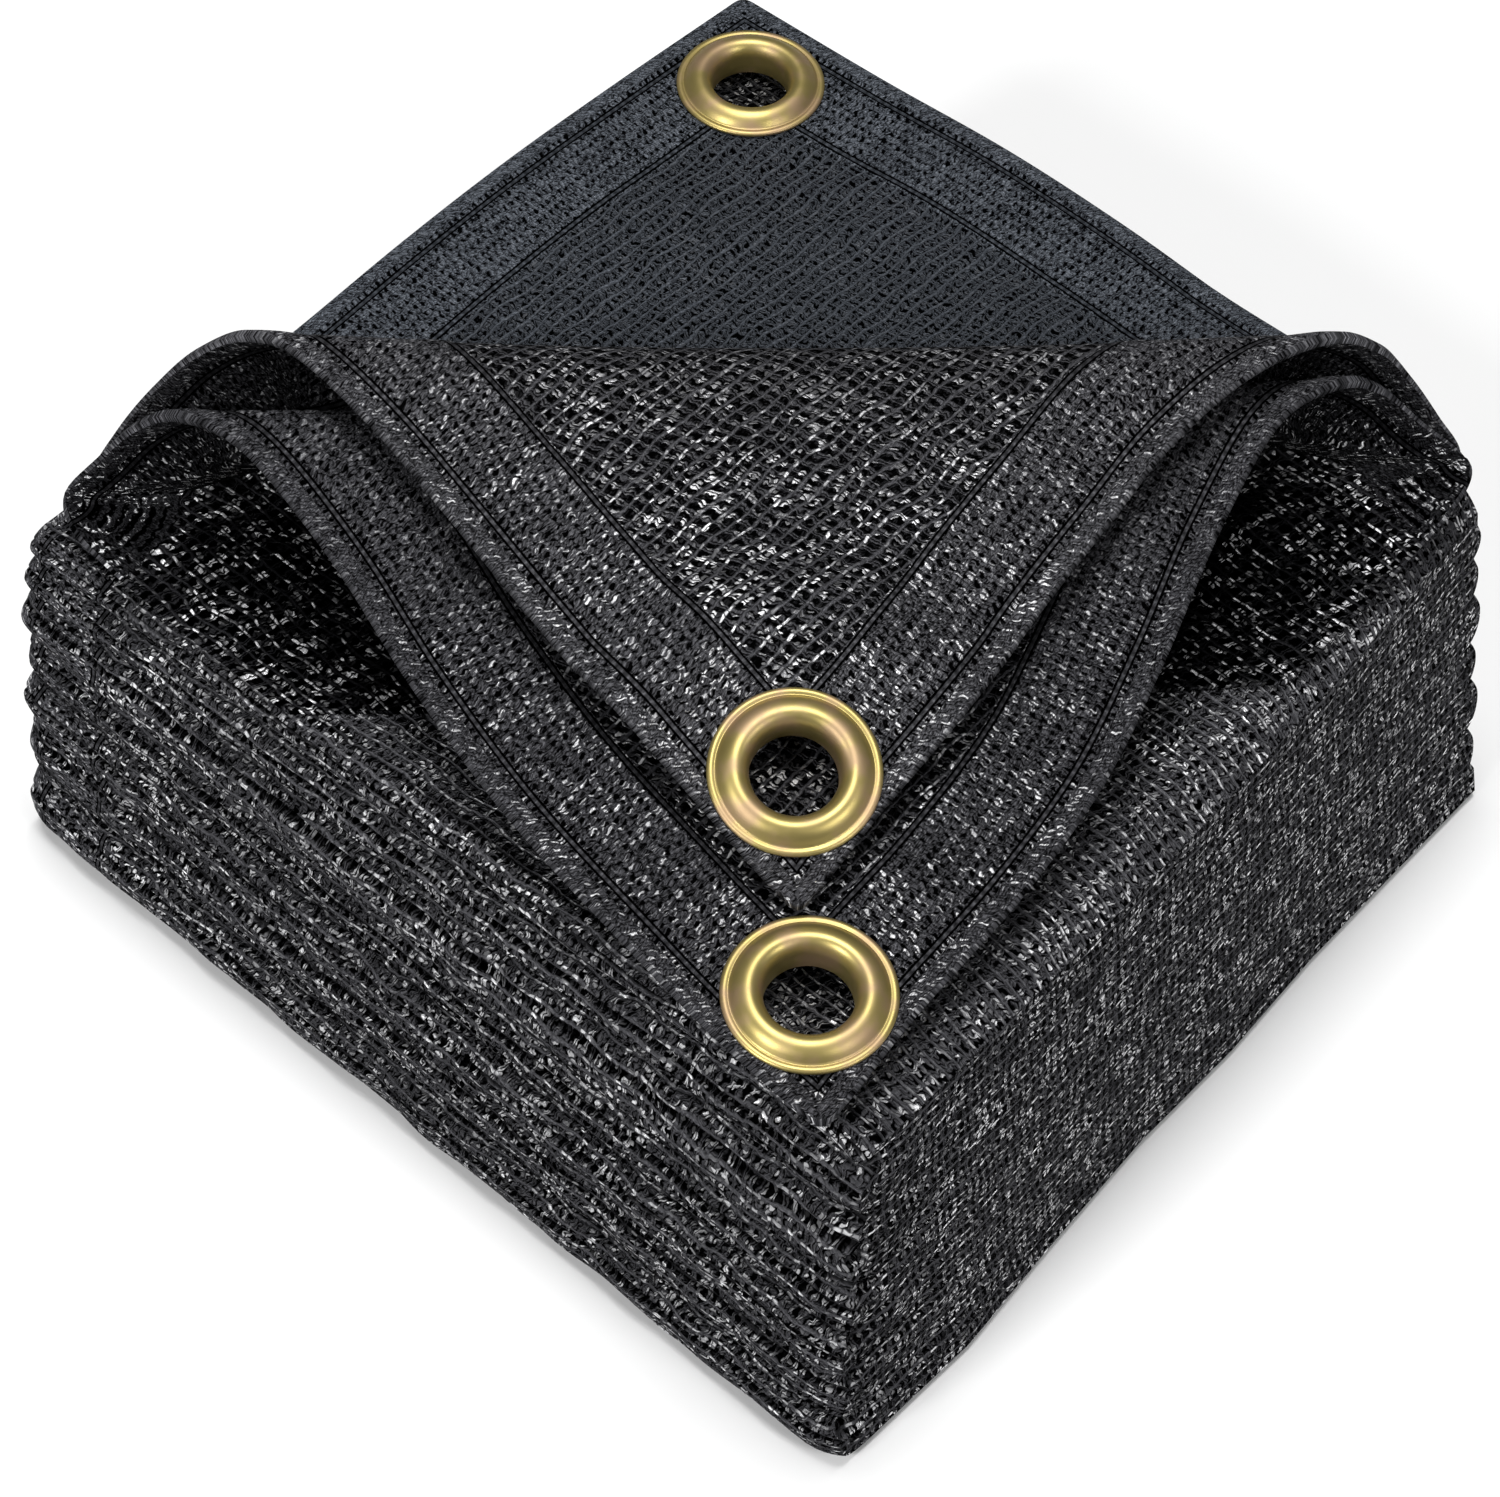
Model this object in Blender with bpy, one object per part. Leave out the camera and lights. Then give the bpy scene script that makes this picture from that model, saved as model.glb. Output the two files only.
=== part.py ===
"""Folded shade cloth: a square stack of knitted cloth with three eyelet corners.

The cloth is folded back and forth into a thick square pad that lies on its
lowest layer. Two corners of the sheet are turned over the diagonal of the pad
and point to the front, one above the other. A third corner lies flat at the
back. Each of these corners has a brass eyelet: a grommet and its washer.

The front corner of the pad points along -Y, the fold of the turned corners
runs along X, and +Z is up. All sizes below are in millimetres.
"""

import math

import bmesh
import bpy
import numpy as np

MM = 0.001

# Driving sizes of the pad: its two sides on the floor and where its front corner lies
LEFT_SIDE = 197.0
RIGHT_SIDE = 192.5
FRONT_X = -0.8
FRONT_Y = -139.3

# Cloth of the pad: air between layers, and the shape of the folds at the faces
LAYER_AIR = 0.7
BEND_DEPTH = 6.0
BEND_ANGLES = (-64.0, -36.0, -12.0, 12.0, 36.0, 64.0)
BEND_FULLNESS = 0.7
BEND_WALL = 2.4
EYE_DEPTH = 1.4
EYE_LEFT = 0.14
EYE_RIGHT = 0.07
EDGE_REST = 0.5

# Driving sizes of the cloth sheet and of its eyelets
PLY = 1.6
SEAT = 0.3
HOLE_RADIUS = 8.3
BORE_RADIUS = 7.25
FLANGE_RADIUS = 14.0
WASHER_RADIUS = 13.2
DOME_HEIGHT = 2.5
WASHER_THICKNESS = 1.0
ROUND_STEPS = 28
ROW_STEPS = 2
COLUMNS = 12

# Heights of the groove lines between the folds, from the floor to the top.
# Columns: at the front corner, left corner, right corner, back corner.
GROOVES = [
    (0.0, 0.0, 0.0, 0.0),
    (10.0, 15.0, 13.5, 11.0),
    (24.0, 31.0, 27.0, 23.0),
    (35.0, 42.0, 38.5, 33.5),
    (47.0, 53.0, 49.5, 45.0),
    (66.0, 64.5, 62.0, 57.0),
    (79.0, 72.0, 71.5, 66.0),
    (86.5, 78.0, 79.5, 72.0),
]

# How the groove lines wander: crown of the pad, swell along and roll across the folds
CROWN = 1.8
SWELL = 0.8
SWELL_TURNS = 3.1
SWELL_STEP = 1.7
ROLL = 0.5
ROLL_TURNS = 5.0
ROLL_STEP = 2.3

# How far each fold stands back from the face. Columns: left face, right-back face.
FOLD_BACK = [
    (0.0, 0.8),
    (1.1, 0.0),
    (0.3, 1.4),
    (1.5, 0.4),
    (0.2, 1.6),
    (0.9, 0.9),
    (1.9, 2.0),
]

# How far the top of each face leans in over the full height of the pad,
# and how much more the right-hand end of the front right face does
LEAN_FRONT_LEFT = 9.8
LEAN_FRONT_RIGHT = 7.5
LEAN_BACK_LEFT = 1.0
LEAN_BACK_RIGHT = 1.5
LEAN_RIGHT_CORNER = 8.5
LEAN_POWER = 1.6
RIGHT_CORNER_POWER = 0.6
FULL_HEIGHT = 86.5

# How the two cut ends of the folds are drawn in and rounded off
END_REACH = 7.0
END_SHRINK = 1.8
END_DROP = 2.6
END_LIFT = 1.4
END_DROP_POWER = 4
END_LIFT_POWER = 8

# Stations along the folds, as shares of the side
STATIONS = [0.0, 0.012, 0.035, 0.10, 0.19, 0.29, 0.39, 0.49, 0.59, 0.69, 0.79, 0.88, 0.955, 0.986, 1.0]
LAYER_POINTS = 4
TOP_POINTS = 9

# Rows of the turned corner that lies below, from its tip over the fold to its root.
# Columns: left edge x, y, z; middle x, y, z; right edge x, y, z.
LOWER_CORNER = [
    (-6.2, -124.4, 89.9, -4.4, -125.0, 89.9, -2.6, -124.4, 89.9),
    (-21.5, -107.0, 91.2, -5.0, -107.0, 91.5, 10.5, -108.0, 91.2),
    (-37.7, -85.5, 92.4, -5.0, -86.0, 93.4, 29.0, -87.5, 92.4),
    (-51.6, -66.0, 94.0, -4.0, -66.0, 95.2, 45.0, -66.5, 94.2),
    (-65.3, -43.2, 97.0, -4.0, -43.5, 98.2, 57.5, -44.0, 97.2),
    (-77.4, -20.4, 100.5, -3.0, -21.0, 101.4, 69.0, -21.0, 101.2),
    (-91.4, 0.2, 104.0, -3.0, -2.0, 104.2, 81.5, -1.0, 105.0),
    (-102.7, 9.2, 103.8, -2.0, 7.0, 103.4, 93.6, 8.0, 105.0),
    (-110.5, 12.2, 98.6, -2.0, 11.2, 99.0, 102.0, 11.2, 100.0),
    (-117.6, 11.6, 91.2, -2.0, 11.6, 93.2, 110.0, 10.6, 92.0),
    (-124.0, 8.2, 84.4, -2.0, 7.6, 88.4, 119.0, 6.2, 84.8),
    (-119.0, -4.0, 83.0, -2.0, -5.0, 85.6, 114.0, -5.0, 83.2),
    (-101.0, -22.0, 82.0, -2.0, -24.0, 84.0, 96.0, -23.0, 82.0),
    (-86.0, -37.0, 82.0, -2.0, -40.0, 83.0, 81.0, -38.0, 82.0),
]

# Rows of the turned corner that lies above, in the same columns
UPPER_CORNER = [
    (-7.4, -88.4, 95.8, -5.6, -89.1, 95.6, -3.8, -88.4, 95.8),
    (-17.0, -76.5, 99.8, -5.0, -75.5, 100.7, 6.5, -76.5, 99.8),
    (-32.2, -57.4, 104.4, -4.5, -56.5, 106.0, 22.5, -59.5, 104.2),
    (-46.0, -37.6, 107.4, -4.0, -37.5, 109.6, 36.2, -41.0, 107.0),
    (-58.0, -19.4, 109.8, -3.5, -20.0, 111.8, 49.5, -24.5, 109.4),
    (-70.0, -1.6, 111.8, -3.0, -4.0, 113.0, 62.0, -9.5, 111.8),
    (-82.9, 13.6, 113.6, -2.0, 6.5, 113.2, 77.5, 3.6, 113.8),
    (-91.6, 19.2, 112.6, -2.0, 13.6, 110.8, 92.0, 12.0, 112.4),
    (-100.2, 21.0, 106.6, -2.0, 17.4, 105.4, 101.8, 15.0, 106.0),
    (-107.4, 20.6, 99.2, -2.0, 18.8, 98.6, 108.0, 15.6, 98.0),
    (-114.4, 18.0, 91.0, -2.0, 17.6, 92.0, 114.0, 13.6, 89.6),
    (-119.6, 13.6, 83.4, -2.0, 12.6, 87.0, 118.4, 10.0, 83.4),
    (-116.0, 6.0, 82.0, -2.0, 3.0, 85.0, 114.0, 2.5, 82.0),
]

# Rows of the flat corner at the back, from its tip to its root, in the same columns
BACK_CORNER = [
    (-1.4, 131.8, 78.5, 0.4, 132.4, 78.5, 2.2, 131.8, 78.5),
    (-25.0, 110.8, 78.6, 0.4, 110.0, 78.6, 26.0, 109.6, 78.6),
    (-46.5, 90.8, 78.6, 0.6, 89.5, 79.0, 48.0, 90.0, 78.6),
    (-66.0, 71.0, 78.6, 0.8, 70.0, 79.4, 67.5, 70.0, 78.6),
    (-85.1, 50.5, 78.4, 0.6, 49.0, 79.4, 84.0, 51.5, 78.4),
    (-102.0, 33.5, 78.0, 0.4, 30.0, 79.0, 99.0, 36.0, 78.0),
    (-115.0, 19.5, 77.6, 0.2, 12.0, 78.6, 111.0, 22.0, 77.8),
    (-112.0, 5.0, 77.6, 0.0, -6.0, 78.6, 107.0, 5.0, 77.8),
]

# Seat of each eyelet: centre x, y, z of the sheet there, and its rise to the back in degrees
LOWER_EYELET = (-4.7, -103.3, 91.7, 4.0)
UPPER_EYELET = (-5.0, -68.6, 103.2, 19.0)
BACK_EYELET = (0.4, 109.6, 78.6, 0.0)
FLAT_RADIUS = 24.0
BLEND_RADIUS = 42.0
FLAT_DEPTH = 12.0

# How the sheets lie on each other where the roots of the corners meet the pad
REST_AIR = 0.55
REST_STEP = 2.3
ROOT_BACK = -6.0
ROOT_FRONT = -22.0

# Half profile of a grommet from the outer rim over the dome and down the barrel.
# Columns: radius, height above the face of the cloth.
GROMMET_TOP = [
    (FLANGE_RADIUS, 0.0),
    (FLANGE_RADIUS, 0.55),
    (13.2, 0.8),
    (12.6, 0.95),
    (11.7, 1.75),
    (10.6, 2.35),
    (9.5, DOME_HEIGHT),
    (8.4, 2.2),
    (7.6, 1.4),
    (BORE_RADIUS, 0.2),
]
BARREL_RADIUS = HOLE_RADIUS - SEAT
CUTTER_REACH = 6.0

# Rolled foot of the barrel under the washer. Columns: radius, height above its lowest line.
ROLL_HEIGHT = 0.9
GROMMET_ROLL = [
    (BORE_RADIUS, 0.5),
    (BORE_RADIUS + 0.6, 0.0),
    (9.1, 0.0),
    (9.6, 0.45),
    (9.2, ROLL_HEIGHT),
    (BARREL_RADIUS, ROLL_HEIGHT),
]

# Half profile of the washer. Columns: radius, height above its lower face.
WASHER_RING = [
    (HOLE_RADIUS, 0.0),
    (HOLE_RADIUS, WASHER_THICKNESS),
    (WASHER_RADIUS, WASHER_THICKNESS),
    (WASHER_RADIUS, 0.5),
    (12.4, 0.0),
]


def remove_everything():
    """Start from an empty scene."""
    for old in list(bpy.data.objects):
        bpy.data.objects.remove(old, do_unlink=True)


def make_material(name, colour, roughness, metallic):
    """Plain finish of one kind of piece."""
    material = bpy.data.materials.new(name)
    material.use_nodes = True
    shader = material.node_tree.nodes["Principled BSDF"]
    shader.inputs["Base Color"].default_value = (*colour, 1.0)
    shader.inputs["Roughness"].default_value = roughness
    shader.inputs["Metallic"].default_value = metallic
    return material


def add_object(name, points, faces, material):
    """Make one mesh object from points in millimetres."""
    mesh = bpy.data.meshes.new(name)
    mesh.from_pydata([tuple(float(c) * MM for c in point) for point in points], [], faces)
    mesh.update()
    mesh.materials.append(material)
    piece = bpy.data.objects.new(name, mesh)
    bpy.context.scene.collection.objects.link(piece)
    return piece


def groove_height(line, along, across):
    """Height of a groove line at shares of the side along and across the folds."""
    front, left, right, back = GROOVES[line]
    near = front + (right - front) * across
    far = left + (back - left) * across
    height = near + (far - near) * along
    if line == 0:
        return height
    arch_along = math.sin(math.pi * along)
    arch_across = math.sin(math.pi * across)
    swell = SWELL * math.sin(SWELL_TURNS * along + SWELL_STEP * line) * arch_along
    roll = ROLL * math.sin(ROLL_TURNS * across + ROLL_STEP * line) * arch_across
    crown = CROWN * line / (len(GROOVES) - 1) * arch_along * arch_across
    return height + swell + roll + crown


def lean(amount, height, power=LEAN_POWER):
    """How far a face stands in from its foot at a height."""
    return amount * (max(height, 0.0) / FULL_HEIGHT) ** power


def place(along, across, height):
    """World point at shares of the two sides and at a height."""
    right_end = lean(LEAN_RIGHT_CORNER, height, RIGHT_CORNER_POWER) * across ** 3
    low_p = lean(LEAN_FRONT_RIGHT, height) + right_end
    high_p = LEFT_SIDE - lean(LEAN_BACK_LEFT, height)
    low_q = lean(LEAN_FRONT_LEFT, height)
    high_q = RIGHT_SIDE - lean(LEAN_BACK_RIGHT, height)
    p = low_p + (high_p - low_p) * along
    q = low_q + (high_q - low_q) * across
    return (FRONT_X + (q - p) / math.sqrt(2.0), FRONT_Y + (p + q) / math.sqrt(2.0), height)


def pad_top(x, y):
    """Height of the pad's top face under a world point."""
    p = (y - FRONT_Y - x + FRONT_X) / math.sqrt(2.0)
    q = (y - FRONT_Y + x - FRONT_X) / math.sqrt(2.0)
    span_q = RIGHT_SIDE - LEAN_BACK_RIGHT - LEAN_FRONT_LEFT
    across = min(max((q - LEAN_FRONT_LEFT) / span_q, 0.0), 1.0)
    low_p = LEAN_FRONT_RIGHT + LEAN_RIGHT_CORNER * across ** 3
    along = min(max((p - low_p) / (LEFT_SIDE - LEAN_BACK_LEFT - low_p), 0.0), 1.0)
    return groove_height(len(GROOVES) - 1, along, across)


def outer_bend(edge, low, high, inward):
    """Round outside of a fold between two heights, as (across, height) points."""
    points = []
    middle = (low + high) / 2.0
    half = (high - low) / 2.0
    for degrees in BEND_ANGLES:
        angle = math.radians(degrees)
        reach = BEND_DEPTH * (1.0 - math.cos(angle) ** BEND_FULLNESS)
        points.append((edge + inward * reach, middle + half * math.sin(angle)))
    return points


def inner_bend(edge, middle, void, inward):
    """Small eye inside a fold, as (across, height) points from low to high."""
    return [
        (edge + inward * (BEND_WALL + EYE_DEPTH), middle - void),
        (edge + inward * BEND_WALL, middle),
        (edge + inward * (BEND_WALL + EYE_DEPTH), middle + void),
    ]


def pad_section(share):
    """Closed back-and-forth outline of the pad's cloth at one station along the folds."""
    folds = len(GROOVES) - 1
    half_air = LAYER_AIR / 2.0
    first_side = []
    second_side = []

    def line_at(line, across):
        return groove_height(line, share, across / RIGHT_SIDE)

    def middle_at(fold, across):
        return (line_at(fold, across) + line_at(fold + 1, across)) / 2.0

    def run(start, end, count, height):
        steps = [start + (end - start) * k / (count - 1) for k in range(count)]
        return [(across, height(across)) for across in steps]

    for fold in range(folds):
        left_edge = FOLD_BACK[fold][0]
        right_edge = RIGHT_SIDE - FOLD_BACK[fold][1]
        start = left_edge + BEND_DEPTH
        end = right_edge - BEND_DEPTH
        floor_air = 0.0 if fold == 0 else half_air
        roof_air = 0.0 if fold == folds - 1 else half_air
        low = line_at(fold, left_edge) + floor_air
        high = line_at(fold + 1, left_edge) - roof_air
        middle = (low + high) / 2.0
        void = max(half_air, EYE_LEFT * (high - low))
        first = FOLD_BACK[fold][1] + BEND_DEPTH if fold else EDGE_REST
        last = end if fold < folds - 1 else right_edge - EDGE_REST

        def floor_of(across, fold=fold, air=floor_air):
            return line_at(fold, across) + air

        def roof_of(across, fold=fold, air=roof_air):
            return line_at(fold + 1, across) - air

        def under_gap(across, fold=fold):
            return middle_at(fold, across) - half_air

        def over_gap(across, fold=fold):
            return middle_at(fold, across) + half_air

        roof_points = LAYER_POINTS if fold < folds - 1 else TOP_POINTS
        first_side += run(RIGHT_SIDE - first, start, LAYER_POINTS, floor_of)
        first_side += outer_bend(left_edge, low, high, 1.0)
        first_side += run(start, last, roof_points, roof_of)
        second_side += run(RIGHT_SIDE - first, start + EYE_DEPTH, LAYER_POINTS, under_gap)
        second_side += inner_bend(left_edge, middle, void, 1.0)
        second_side += run(start + EYE_DEPTH, last, LAYER_POINTS, over_gap)
        if fold < folds - 1:
            line = line_at(fold + 1, RIGHT_SIDE)
            span = line_at(fold + 2, RIGHT_SIDE) - line_at(fold, RIGHT_SIDE)
            eye = max(half_air, EYE_RIGHT * span)
            first_side += inner_bend(right_edge, line, eye, -1.0)
            below = middle_at(fold, right_edge) + half_air
            above = middle_at(fold + 1, right_edge) - half_air
            second_side += outer_bend(right_edge, below, above, -1.0)
    return first_side + second_side[::-1]


def build_pad(material):
    """The folded pad: one ribbon of cloth, back and forth, closed at both ends."""
    points = []
    faces = []
    for share in STATIONS:
        from_end = min(share, 1.0 - share) * LEFT_SIDE
        soft = max(0.0, 1.0 - from_end / END_REACH) ** 2
        shrink = 1.0 - 2.0 * END_SHRINK * soft / RIGHT_SIDE
        for across, height in pad_section(share):
            rise = height / FULL_HEIGHT
            drop = END_DROP * soft * rise ** END_DROP_POWER
            lift = END_LIFT * soft * (1.0 - rise) ** END_LIFT_POWER
            across_here = 0.5 + (across / RIGHT_SIDE - 0.5) * shrink
            points.append(place(share, across_here, height - drop + lift))
    count = len(points) // len(STATIONS)
    for station in range(len(STATIONS) - 1):
        here = station * count
        there = here + count
        for k in range(count):
            step = (k + 1) % count
            faces.append((here + k, here + step, there + step, there + k))
    faces.append(tuple(range(count))[::-1])
    last = (len(STATIONS) - 1) * count
    faces.append(tuple(range(last, last + count)))
    piece = add_object("cloth_stack", points, faces, material)
    tidy = bmesh.new()
    tidy.from_mesh(piece.data)
    bmesh.ops.recalc_face_normals(tidy, faces=tidy.faces)
    bmesh.ops.triangulate(tidy, faces=tidy.faces)
    tidy.to_mesh(piece.data)
    tidy.free()
    return piece


def through_rows(rows, steps):
    """Smooth curve through rows of numbers, with a few steps between neighbours."""
    table = np.array(rows, dtype=float)
    padded = np.vstack([2.0 * table[0] - table[1], table, 2.0 * table[-1] - table[-2]])
    curve = []
    for k in range(len(table) - 1):
        before, start, end, after = padded[k:k + 4]
        for j in range(steps):
            t = j / steps
            curve.append(0.5 * (2.0 * start + (end - before) * t
                                + (2.0 * before - 5.0 * start + 4.0 * end - after) * t ** 2
                                + (3.0 * start - before - 3.0 * end + after) * t ** 3))
    curve.append(table[-1])
    return np.array(curve)


def rest_height(x, y, level):
    """Least height of a sheet's middle where it lies on the pad over other sheets."""
    share = min(max((y - ROOT_FRONT) / (ROOT_BACK - ROOT_FRONT), 0.0), 1.0)
    return pad_top(x, y) + REST_AIR + PLY / 2.0 + level * share * REST_STEP


def sheet_points(rows, steps, columns, seat, level):
    """Grid of points on a corner of the sheet, flat around its eyelet."""
    centre_x, centre_y, centre_z, rise = seat
    slope = math.tan(math.radians(rise))
    grid = []
    for row in through_rows(rows, steps):
        left, middle, right = row[0:3], row[3:6], row[6:9]
        line = []
        for k in range(columns + 1):
            a = 2.0 * k / columns - 1.0
            point = left * a * (a - 1.0) / 2.0 + middle * (1.0 - a * a) + right * a * (a + 1.0) / 2.0
            reach = math.hypot(point[0] - centre_x, point[1] - centre_y)
            share = min(max((BLEND_RADIUS - reach) / (BLEND_RADIUS - FLAT_RADIUS), 0.0), 1.0)
            weight = share * share * (3.0 - 2.0 * share)
            flat_z = centre_z + slope * (point[1] - centre_y)
            if point[2] > flat_z - FLAT_DEPTH:
                point[2] += (flat_z - point[2]) * weight
            point[2] = max(point[2], rest_height(point[0], point[1], level))
            line.append(point)
        grid.append(line)
    return grid


def build_corner(name, rows, seat, level, material):
    """A corner of the sheet as a solid ply with the hole for its eyelet."""
    columns = COLUMNS
    grid = sheet_points(rows, ROW_STEPS, columns, seat, level)
    points = [point for line in grid for point in line]
    width = columns + 1
    faces = []
    for row in range(len(grid) - 1):
        for k in range(columns):
            corner = row * width + k
            faces.append((corner, corner + 1, corner + width + 1, corner + width))
    piece = add_object(name, points, faces, material)
    ply = piece.modifiers.new("ply", "SOLIDIFY")
    ply.thickness = PLY * MM
    ply.offset = 0.0
    plug = [(0.0, -CUTTER_REACH), (HOLE_RADIUS, -CUTTER_REACH)]
    plug += [(radius, -height) for radius, height in reversed(plug)]
    cutter = round_solid(name + "_cutter", plug, seat, material)
    cutter.hide_render = True
    cutter.display_type = "WIRE"
    hole = piece.modifiers.new("hole", "BOOLEAN")
    hole.operation = "DIFFERENCE"
    hole.solver = "EXACT"
    hole.object = cutter
    return piece


def round_solid(name, profile, seat, material):
    """Turned solid on an eyelet's seat, from a closed (radius, height) profile."""
    points = []
    rings = []
    for radius, height in profile:
        if radius == 0.0:
            rings.append([len(points)] * ROUND_STEPS)
            points.append((0.0, 0.0, height))
            continue
        ring = []
        for k in range(ROUND_STEPS):
            turn = 2.0 * math.pi * k / ROUND_STEPS
            ring.append(len(points))
            points.append((radius * math.cos(turn), radius * math.sin(turn), height))
        rings.append(ring)
    faces = []
    closed = profile[0][0] > 0.0
    for k in range(len(rings) if closed else len(rings) - 1):
        ring = rings[k]
        after = rings[(k + 1) % len(rings)]
        for j in range(ROUND_STEPS):
            step = (j + 1) % ROUND_STEPS
            corners = [ring[j], ring[step], after[step], after[j]]
            faces.append(tuple(dict.fromkeys(corners)))
    piece = add_object(name, points, faces, material)
    tidy = bmesh.new()
    tidy.from_mesh(piece.data)
    bmesh.ops.recalc_face_normals(tidy, faces=tidy.faces)
    tidy.to_mesh(piece.data)
    tidy.free()
    piece.location = (seat[0] * MM, seat[1] * MM, seat[2] * MM)
    piece.rotation_euler = (math.radians(seat[3]), 0.0, 0.0)
    piece.data.shade_smooth()
    piece.data.set_sharp_from_angle(angle=math.radians(40.0))
    return piece


def build_eyelet(label, seat, material):
    """A grommet through the cloth and the washer that it is rolled over."""
    face = PLY / 2.0 + SEAT
    washer_foot = -face - WASHER_THICKNESS
    roll_foot = washer_foot - SEAT - ROLL_HEIGHT
    outline = [(radius, face + height) for radius, height in GROMMET_TOP]
    outline += [(radius, roll_foot + height) for radius, height in GROMMET_ROLL]
    outline.append((BARREL_RADIUS, face))
    grommet = round_solid("grommet_" + label, outline, seat, material)
    ring = [(radius, washer_foot + height) for radius, height in WASHER_RING]
    washer = round_solid("washer_" + label, ring, seat, material)
    return [grommet, washer]


def recentre(pieces):
    """Put the origin under the middle of the whole part's box."""
    bpy.context.view_layer.update()
    graph = bpy.context.evaluated_depsgraph_get()
    corners = []
    for piece in pieces:
        shape = piece.evaluated_get(graph).to_mesh()
        corners += [piece.matrix_world @ vertex.co for vertex in shape.vertices]
    box = np.array([tuple(corner) for corner in corners])
    middle = (box.min(axis=0) + box.max(axis=0)) / 2.0
    for item in bpy.data.objects:
        item.location.x -= middle[0]
        item.location.y -= middle[1]
        item.location.z -= box[:, 2].min()


remove_everything()
CLOTH = make_material("shade_knit", (0.018, 0.019, 0.022), 0.62, 0.0)
BRASS = make_material("eyelet_brass", (0.72, 0.56, 0.26), 0.28, 1.0)

PIECES = [build_pad(CLOTH)]
PIECES.append(build_corner("corner_back", BACK_CORNER, BACK_EYELET, 0, CLOTH))
PIECES.append(build_corner("corner_upper", UPPER_CORNER, UPPER_EYELET, 1, CLOTH))
PIECES.append(build_corner("corner_lower", LOWER_CORNER, LOWER_EYELET, 2, CLOTH))
for eyelet_label, eyelet_seat in (("back", BACK_EYELET), ("lower", LOWER_EYELET), ("upper", UPPER_EYELET)):
    PIECES += build_eyelet(eyelet_label, eyelet_seat, BRASS)
recentre(PIECES)
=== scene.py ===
"""Folded shade cloth: a square pad of knitted mesh with three brass eyelet corners.

The pad is one strip of cloth folded back and forth. Two hemmed corners are
turned forward over its diagonal, a third lies flat at the back.
"""

import math

import bpy
import numpy as np
from mathutils import Matrix, Vector


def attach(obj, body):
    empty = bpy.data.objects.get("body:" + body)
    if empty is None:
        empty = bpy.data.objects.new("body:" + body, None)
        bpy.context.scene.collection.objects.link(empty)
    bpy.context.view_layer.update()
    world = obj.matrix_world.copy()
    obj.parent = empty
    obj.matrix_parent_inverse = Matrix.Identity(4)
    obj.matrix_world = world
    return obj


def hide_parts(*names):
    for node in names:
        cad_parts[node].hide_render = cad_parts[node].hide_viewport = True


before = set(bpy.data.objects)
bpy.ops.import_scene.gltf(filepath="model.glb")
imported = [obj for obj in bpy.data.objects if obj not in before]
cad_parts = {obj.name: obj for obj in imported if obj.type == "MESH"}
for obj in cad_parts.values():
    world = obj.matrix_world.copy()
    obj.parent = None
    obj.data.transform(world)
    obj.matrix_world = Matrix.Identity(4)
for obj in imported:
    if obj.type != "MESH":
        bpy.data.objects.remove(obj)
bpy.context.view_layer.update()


# The knitted mesh of the cloth: parallel ridges of black tape yarn about 2.5 mm apart,
# with short rungs between them and dark gaps. Its hems are folded denser, with a
# rope-like edge and two seams. Glints on bits of tape are painted highlights in the
# colour, and codes in the hem map paint shade where the cloth lies in shadow.
knit = bpy.data.node_groups.new("knit_mesh", "ShaderNodeTree")
for socket, kind in (("Panel", "NodeSocketVector"), ("Hem", "NodeSocketVector"), ("Tint", "NodeSocketColor"),
                     ("Glint", "NodeSocketFloat"), ("Rung", "NodeSocketFloat"), ("Slant", "NodeSocketFloat"),
                     ("Fill", "NodeSocketFloat"), ("Crest", "NodeSocketFloat")):
    knit.interface.new_socket(socket, in_out="INPUT", socket_type=kind)
for socket, kind in (("Color", "NodeSocketColor"), ("Roughness", "NodeSocketFloat"), ("Height", "NodeSocketFloat")):
    knit.interface.new_socket(socket, in_out="OUTPUT", socket_type=kind)
knit_in = knit.nodes.new("NodeGroupInput")
knit_out = knit.nodes.new("NodeGroupOutput")


def calc(kind, *values, tree=knit):
    """Add a math node, wire or set its inputs and give its output."""
    node = tree.nodes.new("ShaderNodeMath")
    node.operation = kind
    for k, value in enumerate(values):
        if isinstance(value, (int, float)):
            node.inputs[k].default_value = value
        else:
            tree.links.new(value, node.inputs[k])
    return node.outputs[0]


def ramp(value, low, high, start=0.0, end=1.0, tree=knit):
    """Smooth step of a value between two limits."""
    node = tree.nodes.new("ShaderNodeMapRange")
    node.interpolation_type = "SMOOTHSTEP"
    tree.links.new(value, node.inputs["Value"])
    for name, number in (("From Min", low), ("From Max", high), ("To Min", start), ("To Max", end)):
        node.inputs[name].default_value = number
    return node.outputs["Result"]


def dome(value, radius):
    """Round section of a strand: one at zero, none at the radius."""
    ratio = calc("DIVIDE", value, radius)
    return calc("SQRT", calc("MAXIMUM", calc("SUBTRACT", 1.0, calc("MULTIPLY", ratio, ratio)), 0.0))


def from_middle(value):
    """Distance from the middle of a repeat, none in the middle and one at its ends."""
    return calc("MULTIPLY", calc("ABSOLUTE", calc("SUBTRACT", calc("FRACT", value), 0.5)), 2.0)


def pair(x, y):
    """Vector from two values."""
    node = knit.nodes.new("ShaderNodeCombineXYZ")
    for value, socket in ((x, node.inputs[0]), (y, node.inputs[1])):
        if isinstance(value, float):
            socket.default_value = value
        else:
            knit.links.new(value, socket)
    return node.outputs[0]


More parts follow.
